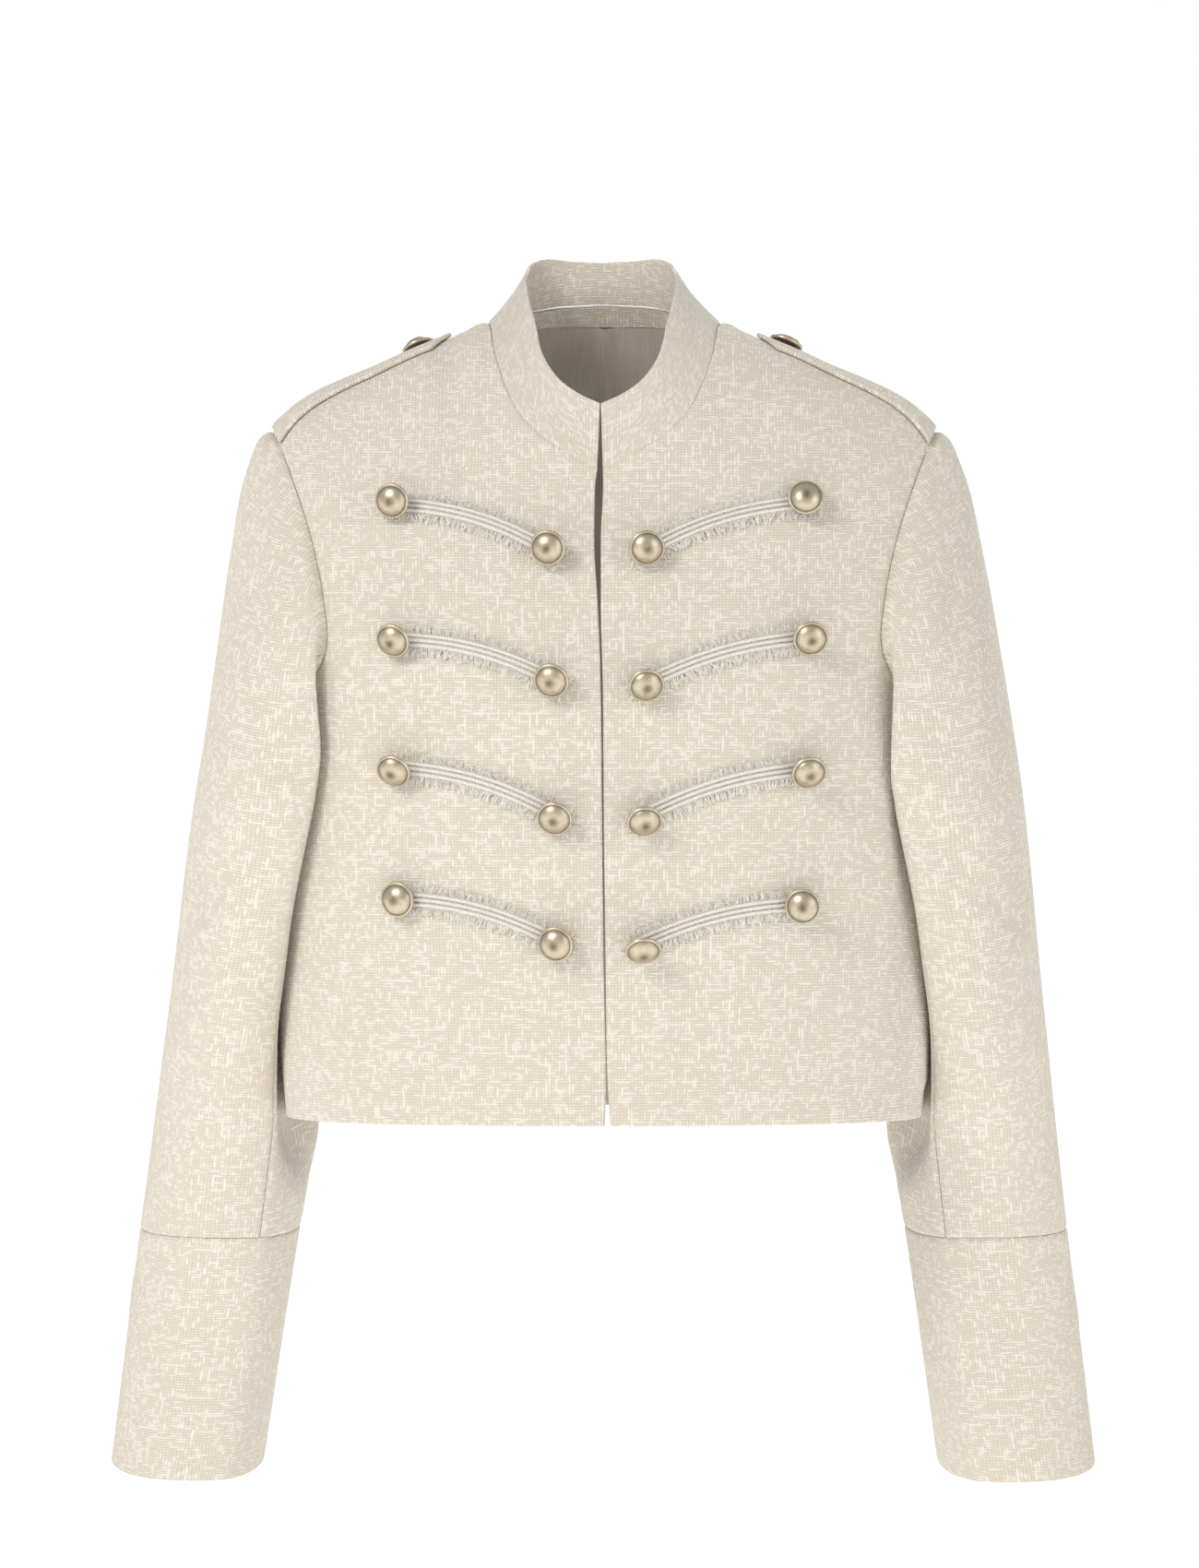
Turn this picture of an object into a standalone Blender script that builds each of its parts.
"""A cropped tweed jacket with a stand collar, filled out as if worn.

It has two fronts that meet edge to edge, a back, two-piece sleeves with a deep lower sleeve,
a stand collar, a back neck facing, a back lining with a centre pleat, buttoned shoulder straps
and four frayed trims with two domed buttons each on either front.

Sizes are in millimetres and become metres when a mesh is made. +Z is up, the front faces -Y,
and +X is the wearer's left. The origin is in the middle of the neck, where the wearer's
shoulders hold the jacket.
"""

import math

import bpy
import numpy as np

MM = 0.001

# Cloth
TWEED = 2.0
LINING = 1.0
FACING = 1.3
SEAM_GAP = 0.32
LAYER_GAP = 0.35
LONGEST_MITRE = 2.4
FACING_BELOW_COLLAR = 0.06
FACING_ABOVE_LINING = 0.01
LINING_BELOW_FACING = 0.03
LINING_COLUMNS_SHORT = 2
PLEAT_DEPTH = 1.4

# Steps by which the body's form is sampled
RIDGE_SAMPLE = 1.5
TURN_SAMPLE = 0.006
HEIGHT_SAMPLE = 0.8
PLACE_SAMPLE = 2.0
SEAM_SAMPLES = 400
HALVINGS = 40

# Body lengths
HEM_Z = -452.0
UNDERARM_Z = -228.0
NECK_FRONT_Z = -85.0
NECK_SIDE_X = 67.0
SHOULDER_X = 190.0
FACING_ROWS = 1
LINING_ROWS_ABOVE_HEM = 1

# Grid: cells between the seam corners
SIDE_SEAM_CELLS = 8
FRONT_NECK_CELLS = 6
HALF_BACK_NECK_CELLS = 5
SHOULDER_CELLS = 7
COLLAR_CELLS = 4
CAP_CELLS = 5
ARM_CELLS = 8
LOWER_SLEEVE_CELLS = 4

# How a panel's inner points follow its edges
EDGE_PULL = 2.6
PULL_FROM = 0.4
PULL_POWER = 1.5
COLUMN_FAN = 0.55
HEM_EVENNESS = 0.45
SAG_FROM = 0.5
SAG_WIDTH = 0.42
SAG_POWER = 1.5

# Collar
COLLAR_WAIST = 1.6
COLLAR_ASIDE_BACK = 1.4
COLLAR_ASIDE_FRONT = 2.0

# Sleeve
SLEEVE_TOP_Z = -236.0
SLEEVE_TOP_DROP = 66.0
LOWER_SLEEVE_SEAM_Z = -521.0
SLEEVE_END_Z = -657.0
SLEEVE_CLEARANCE = 5.4
CLEAR_BELOW_Z = -120.0
CLEAR_FADE = 50.0
CLEAR_PAST_HEM = 35.0
CLEAR_PAST_HEM_FADE = 15.0
SLEEVE_ROLL = 4.5
SLEEVE_HALF_WIDTH = 45.0
SLEEVE_SLOPE_SAMPLE = 12.0
RING_SQUARENESS = 2.4
FRONT_SEAM_CELL = 3
BACK_SEAM_CELL = 4

# Shoulder strap
STRAP_THICK = 2.6
STRAP_CELLS_ALONG = 8
STRAP_CELLS_ACROSS = 6
STRAP_TIP_X = 87.0
STRAP_POINT_LENGTH = 11.0
STRAP_HALF_WIDTH_NECK = 17.5
STRAP_HALF_WIDTH_ARM = 20.5
STRAP_SEAT = 0.5
STRAP_PAST_SEAM = 0.6

# Button
BUTTON_RADIUS = 10.0
BUTTON_SIDES = 12
STRAP_BUTTON_SUNK = 1.2

# Frayed trim
TRIM_HALF_WIDTH = 4.2
TRIM_THICK = 1.1
TRIM_CORD_RISE = 1.3
TRIM_CORD_OFFSET = 2.1
TRIM_PAST_BUTTON = 8.0
TRIM_SEAT = 0.5
TRIM_LOCKS = 14
LOCK_SHARE = 0.62
LOCK_UPPER = 4.8
LOCK_LOWER = 6.0
LOCK_SHORTEST = 0.64
LOCK_WAVE = 2.3
LOCK_LEAN = 0.006
LOCK_LEAN_WAVE = 1.7
LOCK_LIFT = 0.5

COLOURS = {
    "tweed": (0.86, 0.82, 0.74, 1.0),
    "lining": (0.62, 0.57, 0.50, 1.0),
    "trim": (0.90, 0.87, 0.80, 1.0),
    "button": (0.62, 0.55, 0.42, 1.0),
}
ROUGHNESS = {"tweed": 0.9, "lining": 0.45, "trim": 0.85, "button": 0.35}
METALLIC = {"tweed": 0.0, "lining": 0.0, "trim": 0.0, "button": 1.0}


def table(columns, rows):
    """Rows of numbers as a dictionary of named columns."""
    values = np.array(rows, float)
    return {name: values[:, i] for i, name in enumerate(columns.split())}


# Horizontal sections of the body: half width, depth before and behind the side seam
TORSO = table(
    "z half_width front back squareness",
    [
        (-452, 182.0, 109.0, 98.0, 2.60),
        (-400, 187.0, 114.0, 102.0, 2.50),
        (-340, 190.0, 119.0, 106.0, 2.40),
        (-280, 192.0, 122.0, 111.0, 2.30),
        (-228, 193.0, 121.0, 114.0, 2.30),
        (-180, 195.0, 114.0, 113.0, 2.30),
        (-130, 197.0, 98.0, 106.0, 2.30),
        (-85, 198.0, 79.0, 94.0, 2.25),
        (-40, 198.0, 71.0, 76.0, 2.20),
        (20, 198.0, 68.0, 57.0, 2.20),
    ],
)
# Height of the shoulder seam, with the line that each side would follow across the neck
FRONT_RIDGE = table(
    "x z",
    [
        (0, 24),
        (40, 14),
        (67, 3),
        (79, -1.5),
        (90, -6.6),
        (110, -15),
        (130, -24.2),
        (150, -32.5),
        (165, -39.5),
        (176, -46.5),
        (190, -59.5),
        (200, -72),
    ],
)
BACK_RIDGE = table(
    "x z",
    [
        (0, 64),
        (30, 50),
        (50, 26),
        (67, 3),
        (79, -1.5),
        (90, -6.6),
        (110, -15),
        (130, -24.2),
        (150, -32.5),
        (165, -39.5),
        (176, -46.5),
        (190, -59.5),
        (200, -72),
    ],
)
# How far below the shoulder seam the cloth has rounded over to the front or back
SHOULDER_ROUND = table(
    "x height power",
    [
        (0, 95, 1.7),
        (67, 95, 1.7),
        (95, 90, 1.9),
        (130, 84, 2.0),
        (190, 62, 2.0),
        (200, 60, 2.0),
    ],
)
FRONT_NECKLINE = table(
    "x z",
    [
        (0, -85),
        (18.6, -75.3),
        (33, -66),
        (44.8, -55.5),
        (53, -42),
        (59, -26.5),
        (63.7, -11),
        (67, 3),
    ],
)
BACK_NECKLINE = table("x z", [(0, 17.5), (25, 16), (45, 12), (60, 6.5), (67, 3)])
FRONT_ARMHOLE = table(
    "z x",
    [
        (-228, 193),
        (-222, 183),
        (-207, 165),
        (-184, 156.5),
        (-157, 158.5),
        (-134, 163),
        (-110, 170),
        (-85, 179),
        (-59.5, 190),
    ],
)
BACK_ARMHOLE = table(
    "z x",
    [
        (-228, 193),
        (-222, 187),
        (-205, 178),
        (-175, 172),
        (-140, 173),
        (-100, 179),
        (-59.5, 190),
    ],
)
# The two front edges, which stand a little apart over the chest and at the hem
FRONT_EDGES = table(
    "z right_front left_front",
    [
        (-452, 0.4, 3.6),
        (-436, 1.0, 2.0),
        (-349, -0.5, 0.6),
        (-288, -1.1, -0.2),
        (-206, -1.9, -0.8),
        (-165, -3.4, -1.9),
        (-125, -5.5, -1.9),
        (-95, -5.0, -0.6),
        (-85, -3.8, -0.8),
        (-65, -2.4, -1.6),
        (-47, -2.4, -1.7),
    ],
)
# Shares of the way up the armhole, from underarm to shoulder, where rows of cells lie
ARMHOLE_SHARES = (0.0, 0.13, 0.26, 0.39, 0.52, 0.64, 0.755, 0.86, 0.955, 1.0)

# How far rows of cells dip beside the underarm, by rows above it
ROW_SAG = table(
    "row depth",
    [(-8, 0), (-6, 4), (-3, 14), (0, 24), (1, 11), (2, 5), (3, 1.5), (4, 0), (9, 0)],
)

# Top edge of the collar, from the centre back to the centre front
COLLAR_TOP = table(
    "share x y z",
    [
        (0.00, 0.0, 43.5, 41.5),
        (0.13, 16.0, 42.5, 42.0),
        (0.26, 31.0, 36.0, 43.0),
        (0.36, 40.5, 24.0, 39.5),
        (0.46, 43.8, 4.0, 29.0),
        (0.56, 42.2, -19.0, 17.0),
        (0.66, 38.0, -38.0, 1.0),
        (0.76, 34.0, -50.0, -16.0),
        (0.86, 25.5, -58.5, -31.0),
        (0.94, 13.0, -64.0, -41.5),
        (1.00, 1.0, -67.5, -47.5),
    ],
)

# Sleeve sections: the outermost, foremost, innermost and rearmost points of each
SLEEVE = table(
    "z out_x out_y front_x front_y in_x in_y back_x back_y",
    [
        (-657, 289.8, 98, 235, 52, 199.5, 100, 244, 146),
        (-584, 279.7, 81, 222, 36, 188, 85, 233, 128),
        (-521, 270.8, 66, 212, 14, 177.5, 72, 223, 116),
        (-452, 261.0, 46, 204, -20, 165, 62, 214, 106),
        (-405, 254.5, 31, 196, -47, 158, 48, 209, 98),
        (-365, 249.0, 20, 188, -64, 155, 34, 206, 92),
        (-314, 243.0, 9, 177, -77, 150, 18, 202, 83),
        (-262, 235.8, -2, 170, -88, 143, -2, 198, 72),
        (-236, 231.5, -6, 168, -88, 141, -10, 196, 68),
    ],
)
# How the cloth leaves the armhole, by share of the way round from the shoulder
CAP_START = table(
    "share out forward down",
    [
        (0.00, 48, 0, 12),
        (0.10, 50, 16, 40),
        (0.20, 30, 26, 30),
        (0.30, 16, 26, 26),
        (0.40, 10, 18, 40),
        (0.50, 12, 0, 50),
        (0.60, 16, -18, 44),
        (0.70, 26, -26, 26),
        (0.80, 36, -24, 26),
        (0.90, 50, -14, 40),
        (1.00, 48, 0, 12),
    ],
)
CAP_SETTLE = 0.85
# Height that the sleeve's end falls in front and rises behind, and how each sleeve hangs
HEM_TILT = 0.20
SEAM_TILT = 0.07
SLEEVE_HANG = {
    "left": {"swing": -0.5, "widen": 1.5, "drop": 4.0, "fullness": 3.5},
    "right": {"swing": 1.5, "widen": 0.0, "drop": 3.0, "fullness": -3.0},
}
SIDES = {"left": 1.0, "right": -1.0}

# Trims: where the outer and inner button of each sits on the front, and the trim's bow
TRIMS = table(
    "side row outer_x outer_z inner_x inner_z bow",
    [
        (1, 1, 111.6, -105.0, 23.0, -133.0, 5.5),
        (1, 2, 111.6, -181.2, 22.5, -207.0, 5.0),
        (1, 3, 110.0, -254.0, 21.5, -280.0, 5.0),
        (1, 4, 108.0, -329.0, 21.0, -350.0, 5.0),
        (-1, 1, 115.5, -106.0, 30.2, -133.0, 5.8),
        (-1, 2, 113.2, -182.0, 28.0, -205.0, 5.5),
        (-1, 3, 112.7, -253.0, 26.5, -279.5, 5.5),
        (-1, 4, 112.0, -325.7, 26.0, -349.5, 5.5),
    ],
)
# How far each button droops down and leans to the wearer's left, in degrees
BUTTON_LEAN = {
    ("left", 1): {"outer": (4, -16), "inner": (34, 6)},
    ("left", 2): {"outer": (30, -10), "inner": (36, 5)},
    ("left", 3): {"outer": (30, -6), "inner": (37, 5)},
    ("left", 4): {"outer": (8, -24), "inner": (42, 3)},
    ("right", 1): {"outer": (34, -4), "inner": (31, -10)},
    ("right", 2): {"outer": (34, -4), "inner": (29, -10)},
    ("right", 3): {"outer": (32, 0), "inner": (26, -7)},
    ("right", 4): {"outer": (6, -4), "inner": (9, -12)},
}
STRAP_BUTTON = {"left": (103.0, 8.0), "right": (105.0, 11.0)}

# Turned profile of a button: radius and height above the shank's foot
BUTTON_PROFILE = table(
    "radius height turned",
    [
        (2.6, 0.0, 0.0),
        (2.6, 1.6, 0.3),
        (9.2, 2.4, 1.0),
        (10.0, 3.4, 1.0),
        (8.5, 6.0, 1.0),
        (4.8, 7.8, 1.0),
    ],
)
BUTTON_CROWN = 8.4


def smooth(xs, ys, at):
    """A curve through the points (xs, ys) that never overshoots them, read at a place."""
    at = np.clip(np.asarray(at, float), xs[0], xs[-1])
    step = np.diff(xs)
    slope = np.diff(ys) / step
    lean = np.zeros(len(xs))
    lean[0], lean[-1] = slope[0], slope[-1]
    before, after = slope[:-1], slope[1:]
    same_way = before * after > 0
    weight_a = 2 * step[1:] + step[:-1]
    weight_b = step[1:] + 2 * step[:-1]
    with np.errstate(divide="ignore", invalid="ignore"):
        mean = (weight_a + weight_b) / (weight_a / before + weight_b / after)
    lean[1:-1] = np.where(same_way, mean, 0.0)
    i = np.clip(np.searchsorted(xs, at, side="right") - 1, 0, len(xs) - 2)
    t = (at - xs[i]) / step[i]
    return (
        ys[i] * (1 + 2 * t) * (1 - t) ** 2
        + step[i] * lean[i] * t * (1 - t) ** 2
        + ys[i + 1] * t**2 * (3 - 2 * t)
        + step[i] * lean[i + 1] * t**2 * (t - 1)
    )


def read(source, column, at, key=None):
    """One column of a table at a place along its key column."""
    key = key or next(iter(source))
    return smooth(source[key], source[column], at)


def unit(vector):
    """Vectors along the last axis, each of length 1."""
    length = np.linalg.norm(vector, axis=-1, keepdims=True)
    return vector / np.maximum(length, 1e-9)


# The body's form


def section_depth(x, z, front):
    """Depth of the body at x in the horizontal section at z, with no shoulder."""
    power = read(TORSO, "squareness", z)
    across = np.clip(np.abs(x) / read(TORSO, "half_width", z), 0.0, 1.0)
    depth = read(TORSO, "front" if front else "back", z)
    return depth * (1 - across**power) ** (1 / power)


def shoulder_share(x, z, front):
    """How much of the section's depth is left below the rounded shoulder, 0 to 1."""
    ridge = read(FRONT_RIDGE if front else BACK_RIDGE, "z", np.abs(x))
    below = np.clip((ridge - z) / read(SHOULDER_ROUND, "height", np.abs(x)), 0.0, 1.0)
    power = read(SHOULDER_ROUND, "power", np.abs(x))
    return (1 - (1 - below) ** power) ** (1 / power)


def body_y(x, z, front):
    """Y of the cloth's outer surface on the front or back of the body."""
    depth = section_depth(x, z, front) * shoulder_share(x, z, front)
    return -depth if front else depth


def body_height(x, y):
    """Z of the shoulder's outer surface above the point (x, y), found by halving."""
    front = y <= 0
    top = float(read(FRONT_RIDGE, "z", abs(x)))
    bottom = top - float(read(SHOULDER_ROUND, "height", abs(x)))
    high, low = top, bottom
    for _ in range(HALVINGS):
        middle = (high + low) / 2
        if abs(body_y(x, middle, front)) < abs(y):
            high = middle
        else:
            low = middle
    return (high + low) / 2


def chart_to_body(chart, front):
    """Chart points (turn, z) as points in space. Turn is -1 and 1 at the side seams."""
    turn, z = chart[..., 0], chart[..., 1]
    x = read(TORSO, "half_width", z) * np.sin(turn * math.pi / 2)
    return np.stack([x, body_y(x, z, front), z], axis=-1)


def body_normals(grid, front):
    """Outward normals of the body's form at points that lie on it."""
    x, z = grid[..., 0], grid[..., 2]
    ridge = read(FRONT_RIDGE if front else BACK_RIDGE, "z", np.abs(x))
    z = np.minimum(z, ridge - RIDGE_SAMPLE)
    chart = body_to_chart(x, z)

    def slope(step):
        ahead, behind = chart + step, chart - step
        ahead[..., 0] = np.clip(ahead[..., 0], -1, 1)
        behind[..., 0] = np.clip(behind[..., 0], -1, 1)
        return chart_to_body(ahead, front) - chart_to_body(behind, front)

    normals = unit(np.cross(slope((TURN_SAMPLE, 0.0)), slope((0.0, HEIGHT_SAMPLE))))
    return normals if front else -normals


def body_to_chart(x, z):
    """Chart points of places seen from the front."""
    across = np.clip(np.asarray(x, float) / read(TORSO, "half_width", z), -1.0, 1.0)
    return np.stack([np.arcsin(across) * 2 / math.pi, np.broadcast_to(z, across.shape)], axis=-1)


def even_steps(points, shares):
    """Points at given shares of a polyline's length."""
    lengths = np.r_[0, np.cumsum(np.linalg.norm(np.diff(points, axis=0), axis=1))]
    wanted = np.asarray(shares, float) * lengths[-1]
    return np.stack([np.interp(wanted, lengths, points[:, i]) for i in range(points.shape[1])], 1)


def armhole_chart(front):
    """The armhole from the underarm to the shoulder at ARMHOLE_SHARES, as (x, z)."""
    source = FRONT_ARMHOLE if front else BACK_ARMHOLE
    z = np.linspace(UNDERARM_Z, source["z"][-1], SEAM_SAMPLES)
    x = read(source, "x", z)
    line = np.stack([x, body_y(x, z, front), z], axis=1)
    placed = even_steps(line, ARMHOLE_SHARES)
    return placed[:, [0, 2]]


def shoulder_line(cells):
    """The shoulder seam from the neck to the armhole, as (x, z)."""
    x = np.linspace(NECK_SIDE_X, SHOULDER_X, cells + 1)
    return np.stack([x, read(FRONT_RIDGE, "z", x)], axis=1)


def neckline(source, cells):
    """Half a neckline from the centre to the shoulder seam, as (x, z)."""
    x = np.linspace(0, NECK_SIDE_X, SEAM_SAMPLES)
    line = np.stack([x, read(source, "z", x)], axis=1)
    return even_steps(line, np.linspace(0, 1, cells + 1))


def blend_patch(bottom, top, left, right):
    """A grid of chart points inside four edges. The rows' heights follow the left edge."""
    rows, columns = len(left), len(bottom)
    v = (left[:, 1] - left[0, 1]) / (left[-1, 1] - left[0, 1])
    fanned = np.stack([1 - (1 - v) ** COLUMN_FAN, v], axis=1)[:, None]
    ruled = bottom[None] + (top - bottom)[None] * fanned
    u = np.linspace(0, 1, columns)[None, :, None]
    pull = np.clip((u - PULL_FROM) / (1 - PULL_FROM), 0, 1) ** PULL_POWER
    pull = np.concatenate([pull, u], axis=2)
    push = np.concatenate([(1 - u) ** EDGE_PULL, 1 - u], axis=2)
    left_gap = (left - ruled[:, 0])[:, None]
    right_gap = (right - ruled[:, -1])[:, None]
    return ruled + left_gap * push + right_gap * pull


def sag_under_arm(chart):
    """Rows lowered beside the underarm, so that cells there keep their width."""
    rows, columns = chart.shape[:2]
    u = np.linspace(0, 1, columns)
    across = np.clip((u - SAG_FROM) / SAG_WIDTH, 0, 1) ** SAG_POWER
    across[-1] = 0.0
    depth = read(ROW_SAG, "depth", np.arange(rows) - SIDE_SEAM_CELLS)
    chart[..., 1] -= depth[:, None] * across[None]
    return chart


def hem_turns(top, centre):
    """Turns of the hem's points, part way between even steps and the steps of the top edge."""
    even = np.linspace(0, 1, len(top))
    above = (top - top[0]) / (top[-1] - top[0])
    return centre + (1 - centre) * (HEM_EVENNESS * even + (1 - HEM_EVENNESS) * above)


def outer_edge_chart(front):
    """The side seam from the hem and then the armhole, as chart points on the left side."""
    seam_z = np.linspace(HEM_Z, UNDERARM_Z, SIDE_SEAM_CELLS + 1)[:-1]
    seam = np.stack([np.ones_like(seam_z), seam_z], axis=1)
    hole = armhole_chart(front)
    return np.concatenate([seam, body_to_chart(hole[:, 0], hole[:, 1])])


def centre_heights(neck_z):
    """Heights of the rows along the centre front or centre back."""
    lower = np.linspace(HEM_Z, UNDERARM_Z, SIDE_SEAM_CELLS + 1)[:-1]
    upper = UNDERARM_Z + (neck_z - UNDERARM_Z) * np.array(ARMHOLE_SHARES)
    return np.concatenate([lower, upper])


def front_panel(side):
    """Grid of the front's outer surface: rows from the hem up, columns out from the centre."""
    sign = SIDES[side]
    z = centre_heights(NECK_FRONT_Z)
    edge_x = read(FRONT_EDGES, f"{side}_front", z) * sign
    centre = body_to_chart(edge_x, z)
    neck = neckline(FRONT_NECKLINE, FRONT_NECK_CELLS)
    neck[:, 0] += edge_x[-1] * (1 - neck[:, 0] / NECK_SIDE_X)
    top_line = np.concatenate([neck[:-1], shoulder_line(SHOULDER_CELLS)])
    top = body_to_chart(top_line[:, 0], top_line[:, 1])
    hem = np.stack([hem_turns(top[:, 0], centre[0, 0]), np.full(len(top), HEM_Z)], axis=1)
    grid = chart_to_body(sag_under_arm(blend_patch(hem, top, centre, outer_edge_chart(True))), True)
    grid[..., 0] *= sign
    return grid


def back_panel():
    """Grid of the back's outer surface: rows from the hem up, columns from right to left."""
    half_neck = neckline(BACK_NECKLINE, HALF_BACK_NECK_CELLS)
    half_top = np.concatenate([half_neck[:-1], shoulder_line(SHOULDER_CELLS)])
    half_top = body_to_chart(half_top[:, 0], half_top[:, 1])
    hem = np.stack([hem_turns(half_top[:, 0], 0.0), np.full(len(half_top), HEM_Z)], axis=1)
    z = centre_heights(float(BACK_NECKLINE["z"][0]))
    centre = np.stack([np.zeros(len(z)), z], axis=1)
    left_half = sag_under_arm(blend_patch(hem, half_top, centre, outer_edge_chart(False)))
    right_half = left_half[:, :0:-1] * (-1, 1)
    return chart_to_body(np.concatenate([right_half, left_half], axis=1), False)


# The collar


def collar_panel(left_front, right_front, back):
    """Grid of the collar: rows from the neck seam up, columns from right front to left front."""
    seam = np.concatenate(
        [
            right_front[-1, : FRONT_NECK_CELLS + 1],
            back[-1, SHOULDER_CELLS : SHOULDER_CELLS + 2 * HALF_BACK_NECK_CELLS + 1][1:-1],
            left_front[-1, FRONT_NECK_CELLS::-1],
        ]
    )
    half = FRONT_NECK_CELLS + HALF_BACK_NECK_CELLS
    place = np.arange(-half, half + 1)
    share = np.abs(place) / half
    sign = np.sign(place)
    aside = COLLAR_ASIDE_BACK * (1 - share) + COLLAR_ASIDE_FRONT * share
    top = np.stack(
        [
            read(COLLAR_TOP, "x", share) * sign - aside,
            read(COLLAR_TOP, "y", share),
            read(COLLAR_TOP, "z", share),
        ],
        axis=1,
    )
    top[0, 0] = float(read(FRONT_EDGES, "right_front", COLLAR_TOP["z"][-1]))
    top[-1, 0] = float(read(FRONT_EDGES, "left_front", COLLAR_TOP["z"][-1]))
    rise = np.linspace(0, 1, COLLAR_CELLS + 1)[:, None, None]
    hollow = -COLLAR_WAIST * np.sin(rise * math.pi) * (1 - rise)
    grid = seam[None] * (1 - rise) + top[None] * rise
    outward = unit(grid * (1, 1, 0) + (0, 0, 1e-6))
    return grid + outward * hollow


# The sleeves


def clear_of_body(points, clearance):
    """Points pushed out sideways until they stand clear of the body's sections."""
    x, y, z = points[..., 0], points[..., 1], points[..., 2]
    depth = np.where(y < 0, read(TORSO, "front", z), read(TORSO, "back", z)) + clearance
    power = read(TORSO, "squareness", z)
    along = np.clip(np.abs(y) / depth, 0.0, 1.0)
    least = (read(TORSO, "half_width", z) + clearance) * (1 - along**power) ** (1 / power)
    low_enough = np.clip((CLEAR_BELOW_Z - z) / CLEAR_FADE, 0.0, 1.0)
    beside_body = np.clip((z - HEM_Z + CLEAR_PAST_HEM) / CLEAR_PAST_HEM_FADE, 0.0, 1.0)
    push = np.maximum(least - x, 0.0) * low_enough * beside_body
    moved = points.copy()
    moved[..., 0] = x + push
    return moved


def sleeve_section(shares, z):
    """Points round a sleeve's section: share 0 outermost, a quarter front, half inner."""
    corner = {name: read(SLEEVE, name, z) for name in SLEEVE if name != "z"}
    out = (corner["out_x"], corner["out_y"])
    front = (corner["front_x"], corner["front_y"])
    inner = (corner["in_x"], corner["in_y"])
    back = (corner["back_x"], corner["back_y"])
    places = []
    for share, height in zip(shares, np.broadcast_to(z, shares.shape)):
        quarter = min(int(share * 4), 3)
        angle = (share * 4 - quarter) * math.pi / 2
        near, far = ((out, front), (front, inner), (inner, back), (back, out))[quarter]
        i = len(places)
        near_x, near_y = near[0][i], near[1][i]
        far_x, far_y = far[0][i], far[1][i]
        fall = max(math.cos(angle), 0.0) ** (2 / RING_SQUARENESS)
        gain = max(math.sin(angle), 0.0) ** (2 / RING_SQUARENESS)
        if quarter in (0, 2):
            place = (far_x + (near_x - far_x) * fall, near_y + (far_y - near_y) * gain)
        else:
            place = (near_x + (far_x - near_x) * gain, far_y + (near_y - far_y) * fall)
        places.append((*place, height))
    return np.array(places)


def sleeve_shares():
    """Shares round the sleeve of the columns, from the shoulder past the front and back to it."""
    rise = np.array(ARMHOLE_SHARES)
    front = 0.5 * (1 - rise[::-1])
    back = 0.5 + 0.5 * rise
    return np.concatenate([front, back[1:]])


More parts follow.
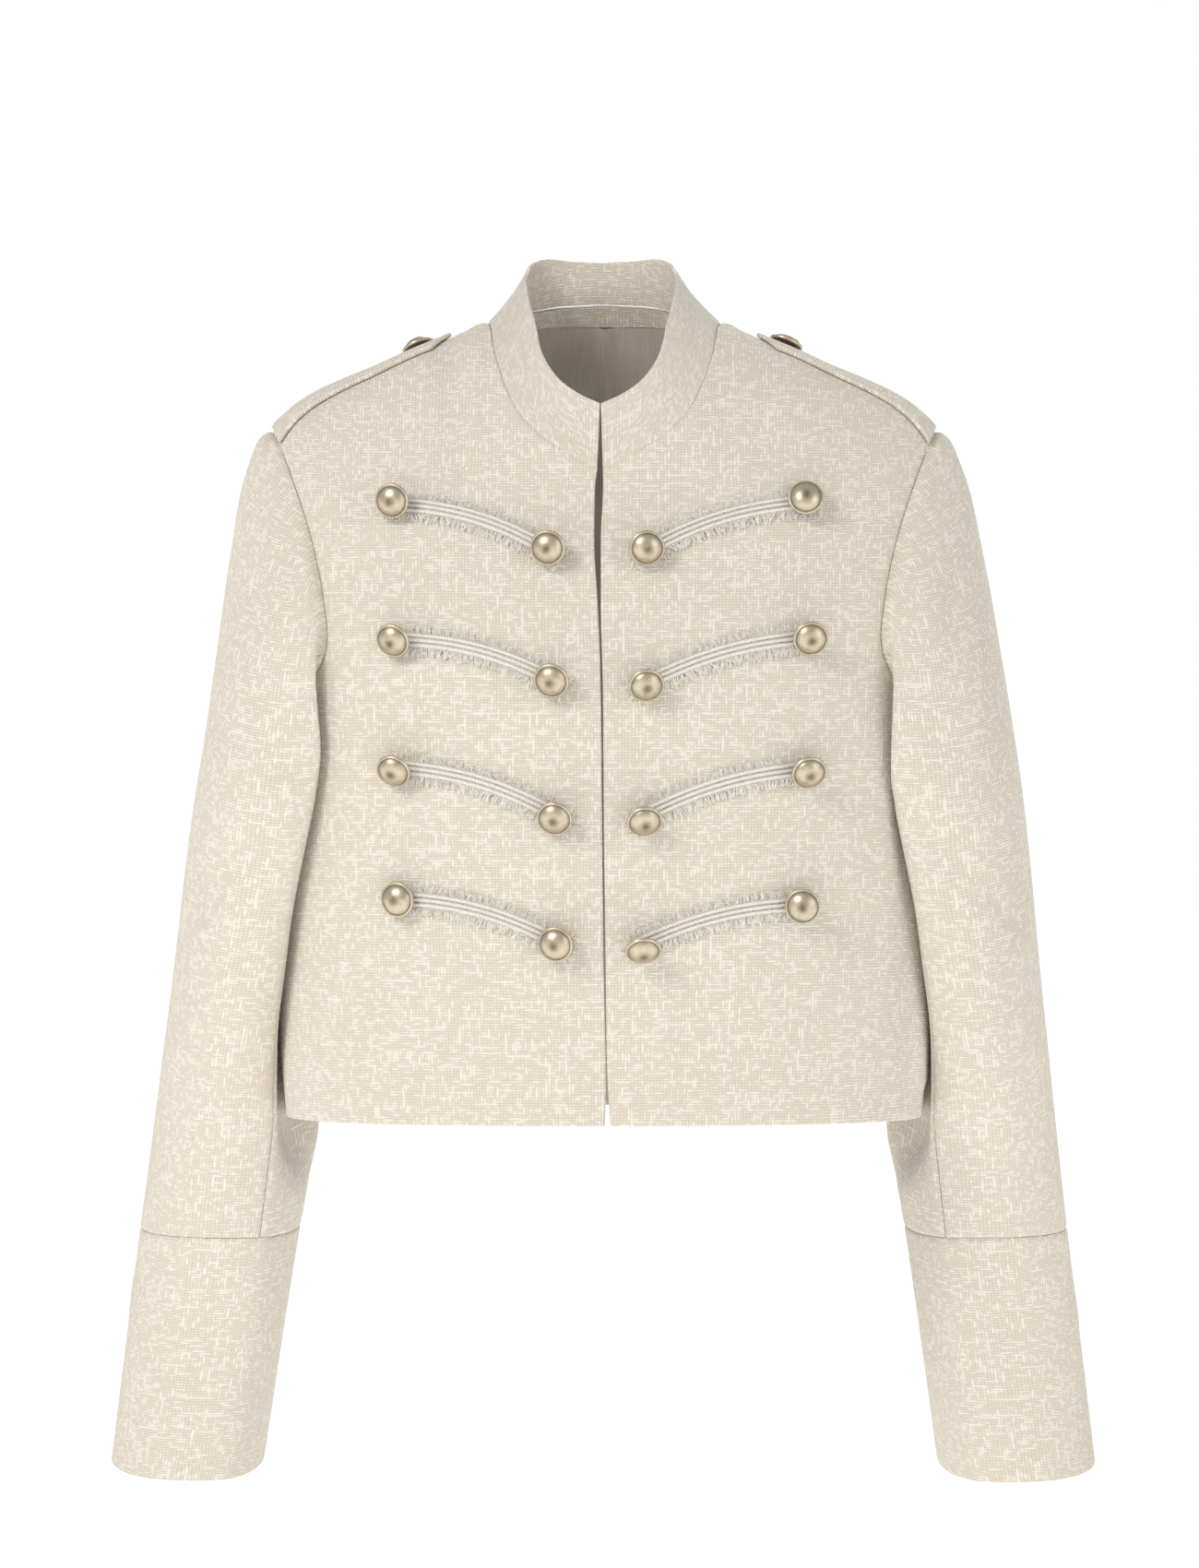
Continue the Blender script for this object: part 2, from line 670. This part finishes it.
def sleeve_tube(side):
    """Grid of the whole sleeve: rows from the armhole down, columns all the way round."""
    hang = SLEEVE_HANG[side]
    shares = sleeve_shares()
    front = armhole_chart(True)
    back = armhole_chart(False)
    front = np.stack([front[:, 0], body_y(front[:, 0], front[:, 1], True), front[:, 1]], 1)
    back = np.stack([back[:, 0], body_y(back[:, 0], back[:, 1], False), back[:, 1]], 1)
    hole = np.concatenate([front[::-1], back[1:]])
    hole[-1] = hole[0]
    top_z = SLEEVE_TOP_Z - SLEEVE_TOP_DROP * np.sin(shares * math.pi) ** 4
    top = sleeve_section(shares, top_z)
    lower = sleeve_section(shares, top_z - SLEEVE_SLOPE_SAMPLE)
    outside = hang["fullness"] * (0.5 + 0.5 * np.cos(shares * 2 * math.pi))
    top[:, 0] += outside
    lower[:, 0] += outside
    reach = np.linalg.norm(top - hole, axis=1, keepdims=True)
    end = (lower - top) / SLEEVE_SLOPE_SAMPLE * reach * CAP_SETTLE
    start = np.stack(
        [
            read(CAP_START, "out", shares),
            -read(CAP_START, "forward", shares),
            -read(CAP_START, "down", shares),
        ],
        axis=1,
    )
    body_out = np.concatenate([body_normals(front, True)[::-1], body_normals(back, False)[1:]])
    square = np.sin(shares * math.pi)[:, None] ** 3
    rolled = hole + SLEEVE_ROLL * unit(body_out * square + unit(start) * (1 - square))
    rolled[-1] = rolled[0]
    t = np.linspace(0, 1, CAP_CELLS)[:, None, None]
    cap = (
        rolled * (1 + 2 * t) * (1 - t) ** 2
        + start * t * (1 - t) ** 2
        + top * t**2 * (3 - 2 * t)
        + end * t**2 * (t - 1)
    )
    cap[1:] = clear_of_body(cap[1:], SLEEVE_CLEARANCE)
    rows = [hole[None], cap]
    arm_z = np.linspace(top_z, np.full_like(top_z, LOWER_SLEEVE_SEAM_Z), ARM_CELLS + 1)[1:]
    low_z = np.linspace(arm_z[-1], np.full_like(top_z, SLEEVE_END_Z), LOWER_SLEEVE_CELLS + 1)[1:]
    for z in np.concatenate([arm_z, low_z]):
        ring = sleeve_section(shares, z)
        down = np.clip((SLEEVE_TOP_Z - z) / (SLEEVE_TOP_Z - LOWER_SLEEVE_SEAM_Z), 0, 1)
        lower_down = np.clip((LOWER_SLEEVE_SEAM_Z - z) / (LOWER_SLEEVE_SEAM_Z - SLEEVE_END_Z), 0, 1)
        tilt = SEAM_TILT * down + (HEM_TILT - SEAM_TILT) * lower_down
        middle = ring.mean(axis=0)
        ring[:, 2] += (ring[:, 1] - middle[1]) * tilt - hang["drop"] * lower_down
        swung = down * 0.5 + lower_down * 0.5
        ring[:, 0] += outside * (1 - down)
        widened = hang["widen"] * (ring[:, 0] - middle[0]) / SLEEVE_HALF_WIDTH
        ring[:, 0] += (hang["swing"] + widened) * swung
        rows.append(clear_of_body(ring, SLEEVE_CLEARANCE)[None])
    tube = np.concatenate(rows)
    tube[:, -1] = tube[:, 0]
    tube[..., 0] *= SIDES[side]
    return tube


# Walls


def grid_normals(grid, closed=False):
    """Outward normals at a grid's points."""
    if closed:
        around = np.roll(grid, -1, axis=1) - np.roll(grid, 1, axis=1)
    else:
        around = np.gradient(grid, axis=1)
    along = np.gradient(grid, axis=0)
    return unit(np.cross(around, along))


def key_of(point):
    """A name for a place, so that panels which share it can find each other."""
    return tuple(np.round(point, 2))


def inward_step(normals, thick):
    """The step from the outer to the inner side of a wall whose faces have these normals."""
    normals = np.array(normals)
    step = np.linalg.pinv(normals, rcond=0.12) @ np.full(len(normals), -thick)
    length = np.linalg.norm(step)
    if length > thick * LONGEST_MITRE:
        step *= thick * LONGEST_MITRE / length
    return step


class Cloth:
    """Panels whose walls lean to shared mitres where they meet, with a seam's gap between."""

    def __init__(self):
        self.panels = {}
        self.faces_at = {}

    def add(self, name, grid, outward, closed=False, normals=None):
        """A panel. Outward is a point's direction that its normals should agree with."""
        if normals is None:
            normals = grid_normals(grid, closed)
        if np.sum(normals * outward(grid)) < 0:
            normals = -normals
        self.panels[name] = (grid, normals, closed)
        rows, columns = grid.shape[:2]
        for i in range(rows):
            for j in range(columns):
                self.faces_at.setdefault(key_of(grid[i, j]), {})[name] = normals[i, j]

    def pin_armhole(self, hole, rolled):
        """Steady the mitre round an armhole, where the sleeve's first row rolls off the body."""
        outwards = hole - hole.mean(axis=0)
        around = np.roll(hole, -1, axis=0) - np.roll(hole, 1, axis=0)
        sleeve = unit(np.cross(around, rolled - hole))
        sleeve *= np.sign(np.sum(sleeve * outwards, axis=1, keepdims=True))
        for point, normal in zip(hole, sleeve):
            meeting = self.faces_at[key_of(point)]
            body = unit(sum(meeting[name] for name in meeting if "sleeve" not in name))
            self.faces_at[key_of(point)] = {"body": body, "sleeve": normal}

    def wall(self, name, thick):
        """Outer and inner grids of a panel's wall, drawn back from the seams it shares."""
        grid, normals, closed = self.panels[name]
        rows, columns = grid.shape[:2]
        outer = grid.copy()
        inner = grid.copy()
        for i in range(rows):
            for j in range(columns):
                meeting = self.faces_at[key_of(grid[i, j])]
                step = inward_step(list(meeting.values()), thick)
                inner[i, j] += step
                if len(meeting) > 1:
                    shift = self.seam_shift(grid, i, j, step, closed)
                    outer[i, j] += shift
                    inner[i, j] += shift
        return outer, inner

    def seam_shift(self, grid, i, j, step, closed):
        """Half a seam's gap, across each edge of the panel that this point lies on."""
        rows, columns = grid.shape[:2]
        shift = np.zeros(3)
        last = rows - 1
        if i in (0, last):
            into = grid[1 if i == 0 else last - 1, j] - grid[i, j]
            along = grid[i, (j + 1) % columns if closed else min(j + 1, columns - 1)]
            along = along - grid[i, (j - 1) % columns if closed else max(j - 1, 0)]
            shift += across_seam(into, along, step)
        if not closed and j in (0, columns - 1):
            into = grid[i, 1 if j == 0 else columns - 2] - grid[i, j]
            along = grid[min(i + 1, last), j] - grid[max(i - 1, 0), j]
            shift += across_seam(into, along, step)
        return shift * SEAM_GAP / 2


def across_seam(into, along, step):
    """Direction into a panel, square to its edge and to the mitre there."""
    for axis in (unit(step), unit(along)):
        into = into - (into @ axis) * axis
    square = np.cross(unit(step), unit(along))
    return unit(square * np.sign(square @ into))


def wall_faces(outer, closed):
    """Faces of a wall whose outer points come first and inner points second.

    Both sides of a cell are split along the same diagonal, the shorter one outside.
    """
    rows, columns = outer.shape[:2]
    count = rows * columns
    across = columns if closed else columns - 1

    def at(i, j, inside=0):
        return i * columns + j % columns + inside * count

    faces = []
    for i in range(rows - 1):
        for j in range(across):
            cell = ((i, j), (i, j + 1), (i + 1, j + 1), (i + 1, j))
            corner = [outer[row, column % columns] for row, column in cell]
            rising = np.linalg.norm(corner[2] - corner[0])
            falling = np.linalg.norm(corner[3] - corner[1])
            halves = ((0, 1, 2), (0, 2, 3)) if rising < falling else ((0, 1, 3), (1, 2, 3))
            for half in halves:
                faces.append(tuple(at(*cell[k]) for k in half))
                faces.append(tuple(at(*cell[k], 1) for k in reversed(half)))
    for j in range(across):
        last = rows - 1
        faces.append((at(0, j), at(0, j, 1), at(0, j + 1, 1), at(0, j + 1)))
        faces.append((at(last, j), at(last, j + 1), at(last, j + 1, 1), at(last, j, 1)))
    if not closed:
        for i in range(rows - 1):
            last = columns - 1
            faces.append((at(i, 0), at(i + 1, 0), at(i + 1, 0, 1), at(i, 0, 1)))
            faces.append((at(i, last), at(i, last, 1), at(i + 1, last, 1), at(i + 1, last)))
    return faces


def volume_of(points, faces):
    """Signed volume inside faces, which is positive when they point outwards."""
    total = 0.0
    for face in faces:
        for k in range(1, len(face) - 1):
            a, b, c = points[face[0]], points[face[k]], points[face[k + 1]]
            total += np.dot(a, np.cross(b, c)) / 6
    return total


def material(name):
    """A plain material for one of the finishes."""
    made = bpy.data.materials.get(name) or bpy.data.materials.new(name)
    made.use_nodes = True
    shader = made.node_tree.nodes["Principled BSDF"]
    shader.inputs["Base Color"].default_value = COLOURS[name]
    shader.inputs["Roughness"].default_value = ROUGHNESS[name]
    shader.inputs["Metallic"].default_value = METALLIC[name]
    return made


def make_object(name, points, faces, finish, round_shape=False):
    """A named object from points in millimetres, with its faces pointing outwards."""
    points = np.asarray(points, float)
    if volume_of(points, faces) < 0:
        faces = [face[::-1] for face in faces]
    mesh = bpy.data.meshes.new(name)
    mesh.from_pydata((points * MM).tolist(), [], faces)
    mesh.materials.append(material(finish))
    if round_shape:
        mesh.shade_smooth()
    mesh.update()
    made = bpy.data.objects.new(name, mesh)
    bpy.context.scene.collection.objects.link(made)
    return made


def make_wall(name, outer, inner, finish, closed=False):
    """A cloth wall between two grids of points."""
    points = np.concatenate([outer.reshape(-1, 3), inner.reshape(-1, 3)])
    return make_object(name, points, wall_faces(outer, closed), finish, True)


# Lining and facing


def make_back_layers(cloth):
    """The back neck facing and the lining below it, inside the back panel."""
    grid, normals, _ = cloth.panels["back"]
    top = grid.shape[0] - 1
    neck = slice(SHOULDER_CELLS + 1, SHOULDER_CELLS + 2 * HALF_BACK_NECK_CELLS)
    facing_rows = slice(top - FACING_ROWS, top + 1)
    near = TWEED + LAYER_GAP
    strip = grid[facing_rows, neck] - normals[facing_rows, neck] * near
    strip[-1] += (strip[-2] - strip[-1]) * FACING_BELOW_COLLAR
    strip[0] += (strip[1] - strip[0]) * FACING_ABOVE_LINING
    thick = normals[facing_rows, neck] * FACING
    make_wall("back_neck_facing", strip, strip - thick, "tweed")
    lining_rows = slice(LINING_ROWS_ABOVE_HEM, top - FACING_ROWS + 1)
    body = slice(LINING_COLUMNS_SHORT, grid.shape[1] - LINING_COLUMNS_SHORT)
    points = grid[lining_rows, body]
    facing_out = normals[lining_rows, body]
    middle = points.shape[1] // 2
    outer = points - facing_out * near
    outer[-1] += (outer[-2] - outer[-1]) * LINING_BELOW_FACING
    inner = outer - facing_out * LINING
    inner[:, middle] -= facing_out[:, middle] * PLEAT_DEPTH
    make_wall("back_lining", outer, inner, "lining")


# Shoulder straps


def strap_edge_x(y):
    """X of the armhole seam where the strap's end is sewn, at this y."""
    hole = armhole_chart(y <= 0)
    depth = np.abs(body_y(hole[:, 0], hole[:, 1], y <= 0))
    order = np.argsort(depth)
    return float(np.interp(abs(y), depth[order], hole[order, 0]))


def strap_grid(seat):
    """Grid of points on the shoulder under a strap, and the normals there."""
    shares = np.linspace(-1, 1, STRAP_CELLS_ACROSS + 1)
    rows = []
    for i in range(STRAP_CELLS_ALONG + 1):
        along = i / STRAP_CELLS_ALONG
        row = []
        for share in shares:
            tip = STRAP_TIP_X + STRAP_POINT_LENGTH * abs(share)
            half = STRAP_HALF_WIDTH_ARM + (STRAP_HALF_WIDTH_NECK - STRAP_HALF_WIDTH_ARM) * along
            y = share * half
            start = strap_edge_x(y) - STRAP_PAST_SEAM
            x = start + (tip - start) * along
            row.append((x, y, body_height(x, y)))
        rows.append(row)
    grid = np.array(rows)
    normals = grid_normals(grid)
    if normals[..., 2].sum() < 0:
        normals = -normals
    return grid + normals * seat, normals


def make_strap(side):
    """A pointed strap lying along the shoulder, sewn in at the armhole."""
    lower, normals = strap_grid(STRAP_SEAT)
    upper = lower + normals * STRAP_THICK
    mirror = (SIDES[side], 1, 1)
    make_wall(f"{side}_shoulder_strap", upper * mirror, lower * mirror, "tweed")


# Buttons


def button_points(foot, normal, down, aside, sunk):
    """Rings of a button from its foot, turning from the cloth's normal to its own lean."""
    lean_down, lean_aside = math.radians(down), math.radians(aside)
    rings = []
    centre = np.array(foot, float)
    last_height = 0.0
    stand_off = BUTTON_RADIUS * math.sin(math.hypot(lean_down, lean_aside))
    rows = zip(BUTTON_PROFILE["radius"], BUTTON_PROFILE["height"], BUTTON_PROFILE["turned"])
    right = unit(np.cross(normal, (0.0, 0.0, 1.0)) if abs(normal[2]) < 0.8 else np.array((0.0, 1, 0)))
    up = unit(np.cross(right, normal))
    for radius, height, turned in rows:
        pitch, yaw = lean_down * turned, lean_aside * turned
        axis = unit(normal * math.cos(pitch) * math.cos(yaw) - up * math.sin(pitch) - right * math.sin(yaw))
        centre = centre + axis * (height - last_height)
        if height > 0 and last_height == 0:
            centre = centre + axis * (stand_off - sunk)
        last_height = height
        first = unit(np.cross(axis, up))
        second = np.cross(axis, first)
        for k in range(BUTTON_SIDES):
            angle = 2 * math.pi * k / BUTTON_SIDES
            rings.append(centre + radius * (math.cos(angle) * first + math.sin(angle) * second))
    crown = centre + axis * (BUTTON_CROWN - last_height)
    return np.array(rings + [crown])


def button_faces():
    """Faces of a button: a flat foot, the turned side and a fan at the crown."""
    rings = len(BUTTON_PROFILE["radius"])
    faces = [tuple(range(BUTTON_SIDES))[::-1]]
    for i in range(rings - 1):
        for k in range(BUTTON_SIDES):
            nxt = (k + 1) % BUTTON_SIDES
            a, b = i * BUTTON_SIDES + k, i * BUTTON_SIDES + nxt
            faces.append((a, b, b + BUTTON_SIDES, a + BUTTON_SIDES))
    crown = rings * BUTTON_SIDES
    for k in range(BUTTON_SIDES):
        nxt = (k + 1) % BUTTON_SIDES
        faces.append((crown - BUTTON_SIDES + k, crown - BUTTON_SIDES + nxt, crown))
    return faces


def make_button(name, foot, normal, down=0.0, aside=0.0, sunk=0.0):
    """A domed metal button on its shank, some of which may be sunk in a buttonhole."""
    points = button_points(foot, np.asarray(normal, float), down, aside, sunk)
    make_object(name, points, button_faces(), "button", True)


def make_strap_button(side):
    """The button that holds a strap's pointed end."""
    x, y = STRAP_BUTTON[side]
    here = np.array((x, y, body_height(x, y)))
    beside = np.array((x + PLACE_SAMPLE, y, body_height(x + PLACE_SAMPLE, y)))
    behind = np.array((x, y + PLACE_SAMPLE, body_height(x, y + PLACE_SAMPLE)))
    normal = unit(np.cross(beside - here, behind - here))
    foot = here + normal * (STRAP_SEAT + STRAP_THICK + LAYER_GAP)
    mirror = np.array((SIDES[side], 1, 1))
    make_button(f"{side}_strap_button", foot * mirror, normal * mirror, sunk=STRAP_BUTTON_SUNK)


# Frayed trims


def front_place(x, z, sign, lift=0.0):
    """A point lifted off the front's outer surface, and the normal there."""
    here = np.array((x, body_y(x, z, True), z))
    beside = np.array((x + PLACE_SAMPLE, body_y(x + PLACE_SAMPLE, z, True), z))
    above = np.array((x, body_y(x, z + PLACE_SAMPLE, True), z + PLACE_SAMPLE))
    normal = unit(np.cross(beside - here, above - here))
    point = here + normal * lift
    return point * (sign, 1, 1), normal * (sign, 1, 1)


def trim_line(row, share):
    """Centre of a trim seen from the front, and the way it runs there."""
    span = np.array((row["inner_x"] - row["outer_x"], row["inner_z"] - row["outer_z"]))
    length = np.linalg.norm(span)
    ends = TRIM_PAST_BUTTON / length
    place = -ends + share * (1 + 2 * ends)
    rise = row["bow"] * 4 * place * (1 - place)
    slope = row["bow"] * 4 * (1 - 2 * place) / length
    way = span / length
    across = np.array((way[1], -way[0]))
    if across[1] < 0:
        across = -across
    centre = np.array((row["outer_x"], row["outer_z"])) + span * place + across * rise
    run = unit(way + across * slope)
    turned = np.array((run[1], -run[0]))
    if turned[1] < 0:
        turned = -turned
    return centre, turned


def trim_section():
    """The trim's cross-section: place across it and height, with two cords on top."""
    low, high = TRIM_THICK, TRIM_THICK + TRIM_CORD_RISE
    top = [
        (TRIM_HALF_WIDTH, low),
        (TRIM_CORD_OFFSET, high),
        (0.0, low),
        (-TRIM_CORD_OFFSET, high),
        (-TRIM_HALF_WIDTH, low),
    ]
    return top + [(-TRIM_HALF_WIDTH, 0.0), (TRIM_HALF_WIDTH, 0.0)]


def make_trim(row):
    """One trim with its two buttons. Locks of frayed thread stand out from both edges."""
    sign = row["side"]
    side = "left" if sign > 0 else "right"
    section = trim_section()
    around = len(section)
    cuts = [0.0]
    for k in range(TRIM_LOCKS):
        cuts += [(k + LOCK_SHARE) / TRIM_LOCKS, (k + 1) / TRIM_LOCKS]
    points, faces = [], []
    for cut in cuts:
        (x, z), across = trim_line(row, cut)
        for offset, height in section:
            place, _ = front_place(
                x + across[0] * offset, z + across[1] * offset, sign, TRIM_SEAT + height
            )
            points.append(place)
    upper_root, lower_root = around - 1, 4
    for i in range(len(cuts) - 1):
        for k in range(around):
            a, b = i * around + k, i * around + (k + 1) % around
            quad = (a, b, b + around, a + around)
            is_lock = i % 2 == 0 and k in (upper_root, lower_root)
            if not is_lock:
                faces.append(quad)
                continue
            reach = LOCK_UPPER if k == upper_root else -LOCK_LOWER
            wave = math.sin(LOCK_WAVE * i + row["row"] + k)
            wander = LOCK_SHORTEST + (1 - LOCK_SHORTEST) * (1 + wave) / 2
            middle = (cuts[i] + cuts[i + 1]) / 2 + LOCK_LEAN * math.sin(LOCK_LEAN_WAVE * i + k)
            (x, z), across = trim_line(row, middle)
            offset = math.copysign(TRIM_HALF_WIDTH, reach) + reach * wander
            tip, _ = front_place(
                x + across[0] * offset, z + across[1] * offset, sign, TRIM_SEAT + LOCK_LIFT
            )
            points.append(tip)
            faces += [(quad[n], quad[(n + 1) % 4], -len(points)) for n in range(4)]
    last = (len(cuts) - 1) * around
    faces.append(tuple(range(around))[::-1])
    faces.append(tuple(last + k for k in range(around)))
    faces = [tuple(-v - 1 if v < 0 else v for v in face) for face in faces]
    name = f"{side}_trim_{int(row['row'])}"
    make_object(name, points, faces, "trim")
    for end in ("outer", "inner"):
        share = TRIM_PAST_BUTTON / (TRIM_PAST_BUTTON * 2 + trim_length(row))
        share = share if end == "outer" else 1 - share
        (x, z), _ = trim_line(row, share)
        seat = TRIM_SEAT + TRIM_THICK + TRIM_CORD_RISE + LAYER_GAP
        foot, normal = front_place(x, z, sign, seat)
        down, aside = BUTTON_LEAN[(side, int(row["row"]))][end]
        make_button(f"{name}_{end}_button", foot, normal, down, aside)


def trim_length(row):
    """Straight distance between a trim's two buttons, seen from the front."""
    return math.hypot(row["inner_x"] - row["outer_x"], row["inner_z"] - row["outer_z"])


def away_from_axis(grid):
    """Outward from the body's upright axis and up, for the body's panels."""
    return grid * (1, 1, 0) + (0, 0, 25.0)


def away_from_sleeve(grid):
    """Outward from a sleeve's own middle line."""
    return grid - grid.mean(axis=1, keepdims=True)


def away_from_middle(middle):
    """Outward from a line of middle points, one for each row."""
    return lambda grid: grid - middle[:, None]


def make_cloth():
    """The jacket's cloth panels, with the lining and facing inside the back."""
    cloth = Cloth()
    fronts = {side: front_panel(side) for side in SIDES}
    back = back_panel()
    for side, grid in fronts.items():
        cloth.add(f"{side}_front", grid, away_from_axis, normals=body_normals(grid, True))
    cloth.add("back", back, away_from_axis, normals=body_normals(back, False))
    cloth.add("collar", collar_panel(fronts["left"], fronts["right"], back), away_from_axis)
    hole_cells = len(ARMHOLE_SHARES) - 1
    front_seam = hole_cells - FRONT_SEAM_CELL
    back_seam = hole_cells + BACK_SEAM_CELL
    cuff_row = CAP_CELLS + ARM_CELLS
    for side in SIDES:
        tube = sleeve_tube(side)
        ring = tube[:, :-1]
        arm = ring[: cuff_row + 1]
        middle = arm.mean(axis=1)
        order = list(range(back_seam, 2 * hole_cells)) + list(range(front_seam + 1))
        cloth.add(f"{side}_upper_sleeve", arm[:, order], away_from_middle(middle))
        cloth.add(
            f"{side}_under_sleeve",
            arm[:, front_seam : back_seam + 1],
            away_from_middle(middle),
        )
        cloth.add(f"{side}_lower_sleeve", ring[cuff_row:], away_from_sleeve, closed=True)
        cloth.pin_armhole(ring[0], ring[1])
    for name, (_, _, closed) in cloth.panels.items():
        outer, inner = cloth.wall(name, TWEED)
        make_wall(name, outer, inner, "tweed", closed)
    make_back_layers(cloth)


def main():
    for old in list(bpy.data.objects):
        bpy.data.objects.remove(old)
    make_cloth()
    for side in SIDES:
        make_strap(side)
        make_strap_button(side)
    for i in range(len(TRIMS["row"])):
        make_trim({name: float(column[i]) for name, column in TRIMS.items()})


main()
